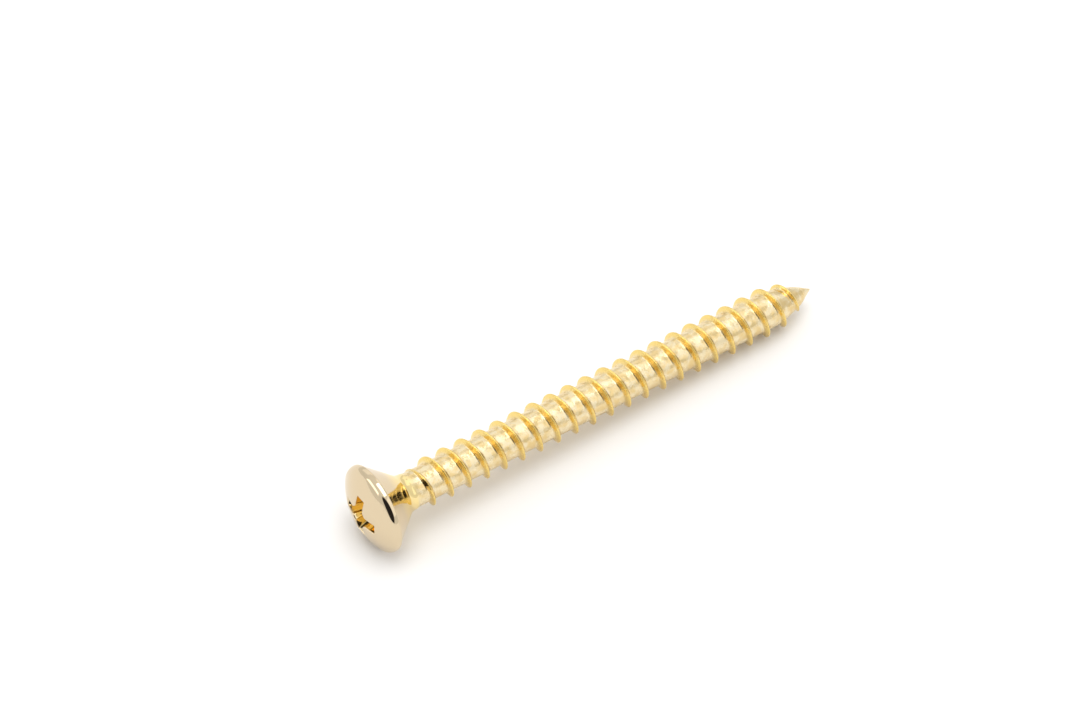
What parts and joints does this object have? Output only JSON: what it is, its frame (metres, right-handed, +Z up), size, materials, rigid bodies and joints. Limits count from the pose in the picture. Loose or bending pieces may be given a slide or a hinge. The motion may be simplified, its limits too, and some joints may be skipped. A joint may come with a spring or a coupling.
{
  "type": "guitar neck screw",
  "caption": "Raised countersunk wood screw with a cross recess, full thread and gimlet point, for bolting a neck to a guitar body.",
  "frame": {"origin": "middle of the bounding box, on the surface it lies on", "axes": "+X from the head towards the point, tipped 2.8 degrees down because it rests on the head's rim and the thread; +Z up"},
  "size_m": [0.0462, 0.008, 0.008],
  "materials": {
    "gold_plate": "pale gold plating over steel, bright on the head, slightly uneven in the rolled thread"
  },
  "bodies": {
    "root": {"neck_screw": "gold_plate"}
  },
  "joints": []
}
